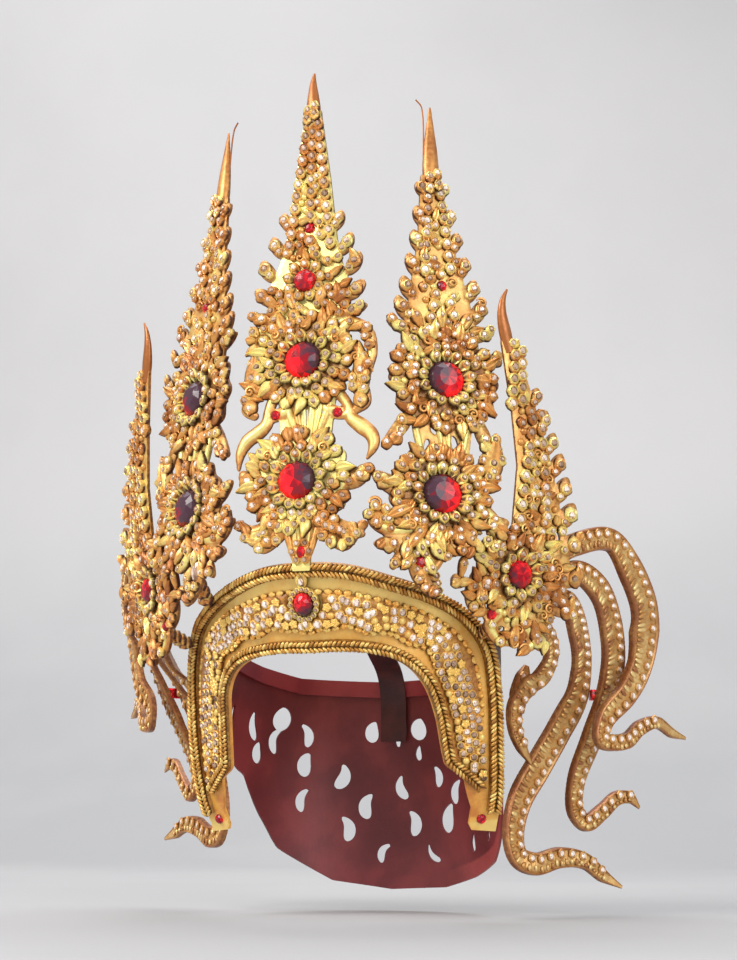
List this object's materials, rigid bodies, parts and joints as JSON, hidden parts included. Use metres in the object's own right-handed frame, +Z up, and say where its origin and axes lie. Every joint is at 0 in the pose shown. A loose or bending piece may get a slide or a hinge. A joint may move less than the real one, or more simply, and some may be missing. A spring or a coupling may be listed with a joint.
{
  "type": "thai dance headdress",
  "caption": "Gilt crown-like dance headdress: braided brow band with tall pierced spires set with red stones, curling naga tails and a pierced lacquered wall round the back of the head.",
  "frame": {"origin": "middle of the head opening, at the level of the band's inner edge over the brow, where the wearer's head seats", "axes": "+Z up the spires, front of the face towards -Y, +X towards the wearer's left"},
  "size_m": [0.4268, 0.2258, 0.5456],
  "materials": {
    "gilt": "gilded pierced sheet, warm yellow to orange gold",
    "band_gilt": "bright yellow gilt sheet",
    "cord_gilt": "braided gilt wire cord",
    "tail_gilt": "copper-brown gilt strip with a row of small stones",
    "red_stone": "foil-backed faceted red glass stone",
    "clear_stone": "foil-backed faceted clear glass stone",
    "lacquer": "dark red lacquered hide, tan gilt outside",
    "rim_lacquer": "lighter red lacquered rim",
    "strap_hide": "dark maroon hide strap"
  },
  "bodies": {
    "root": {"brow_band": "band_gilt", "brow_stone_strip": "band_gilt", "outer_cord": "cord_gilt", "inner_cord": "cord_gilt", "brow_setting": "gilt", "spire_centre": "gilt", "spire_mid_r": "gilt", "spire_mid_l": "gilt", "spire_outer_r": "gilt", "spire_outer_l": "gilt", "tail_1_r": "tail_gilt", "tail_1_l": "tail_gilt", "tail_2_r": "tail_gilt", "tail_2_l": "tail_gilt", "tail_3_r": "tail_gilt", "tail_3_l": "tail_gilt", "tail_4_r": "tail_gilt", "tail_4_l": "tail_gilt", "brow_stone": "red_stone", "leg_stone_r": "red_stone", "leg_stone_l": "red_stone", "stone_centre_top": "red_stone", "stone_centre_upper": "red_stone", "stone_centre_lower": "red_stone", "stone_centre_small": "red_stone", "stone_centre_stem": "red_stone", "stone_tail_scroll_r": "red_stone", "stone_tail_scroll_l": "red_stone", "stone_mid_upper_r": "red_stone", "stone_mid_upper_l": "red_stone", "stone_mid_lower_r": "red_stone", "stone_mid_lower_l": "red_stone", "stone_mid_small_r": "red_stone", "stone_mid_small_l": "red_stone", "stone_mid_stem_r": "red_stone", "stone_outer_main_r": "red_stone", "stone_outer_main_l": "red_stone", "stone_outer_foot_r": "red_stone", "stone_outer_foot_l": "red_stone", "tail_bridge_r": "red_stone", "tail_bridge_l": "red_stone", "stone_mid_stem_l": "clear_stone", "back_panel": "lacquer", "head_ring": "rim_lacquer", "top_strap": "strap_hide"}
  },
  "joints": []
}
